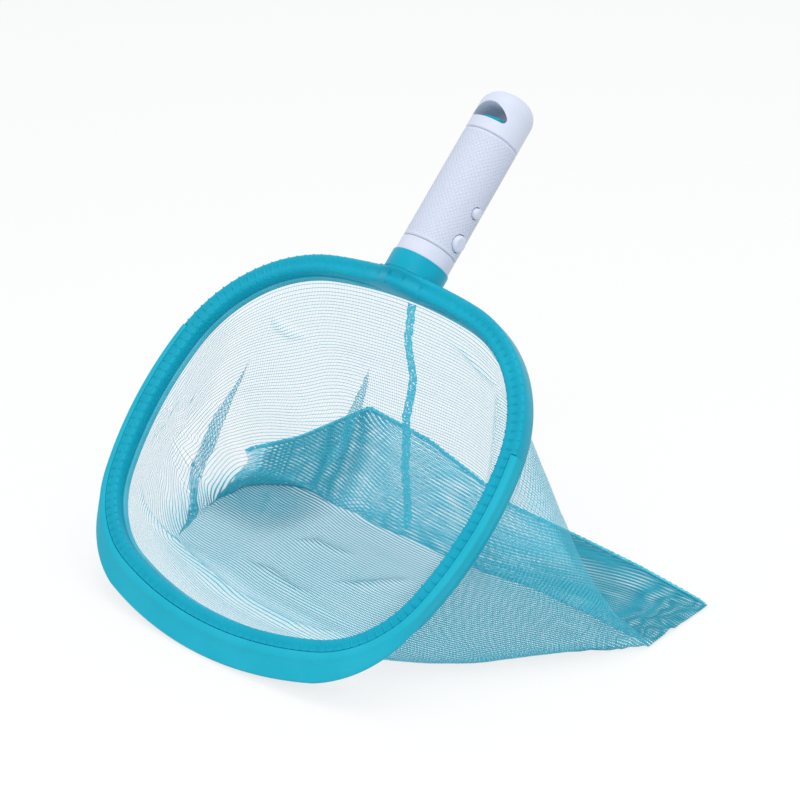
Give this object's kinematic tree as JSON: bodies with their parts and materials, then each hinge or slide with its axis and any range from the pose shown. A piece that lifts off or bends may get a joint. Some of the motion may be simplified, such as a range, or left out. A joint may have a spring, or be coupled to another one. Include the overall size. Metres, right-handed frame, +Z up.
{
  "type": "leaf skimmer net",
  "caption": "Hand net for lifting leaves out of a small pool or spa: moulded rim with a scoop lip, fine mesh bag, and a short handle that also locks into a pole by sprung pins",
  "frame": {"origin": "the middle of the base of the whole part's box, on the floor that the lip and the bag rest on", "axes": "+X across the rim to the right, as seen from in front of the mouth; +Y back, away from the mouth's front; +Z up. The handle points along (0, 1, 1)"},
  "size_m": [0.265, 0.2264, 0.2248],
  "materials": {
    "turquoise": "moulded plastic, satin gloss",
    "soft_lip": "softer moulded plastic, satin",
    "cord": "braided cord",
    "tape": "folded and stitched mesh tape",
    "net": "fine square mesh of polyester thread",
    "white": "moulded plastic, satin",
    "white_grip": "moulded plastic with a fine diamond grip",
    "steel": "stainless steel"
  },
  "bodies": {
    "net_and_handle": {"rim_frame": "turquoise", "rim_back_ring": "turquoise", "scoop_lip": "soft_lip", "hem_cord": "cord", "net_hem": "tape", "net_bag": "net", "back_seam_tape": "tape", "end_binding": "tape", "handle_spine": "turquoise", "base_ring": "white", "grip_sleeve": "white_grip", "end_cap": "white", "lock_spring": "steel", "neck_screws": "steel"},
    "lock_right": {"carrier_right": "white", "release_button_right": "white", "lock_pin_right": "white"},
    "lock_left": {"carrier_left": "white", "release_button_left": "white", "lock_pin_left": "white"}
  },
  "joints": [
    {"name": "press_right", "type": "slide", "parent": "net_and_handle", "child": "lock_right", "axis": [-1, 0, 0], "range_m": [0, 0.003], "stiffness_N_per_m": 600, "springref_m": -0.001, "deforming": ["lock_spring"]},
    {"name": "press_left", "type": "slide", "parent": "net_and_handle", "child": "lock_left", "axis": [1, 0, 0], "range_m": [0, 0.003], "stiffness_N_per_m": 600, "springref_m": -0.001, "deforming": ["lock_spring"]}
  ]
}
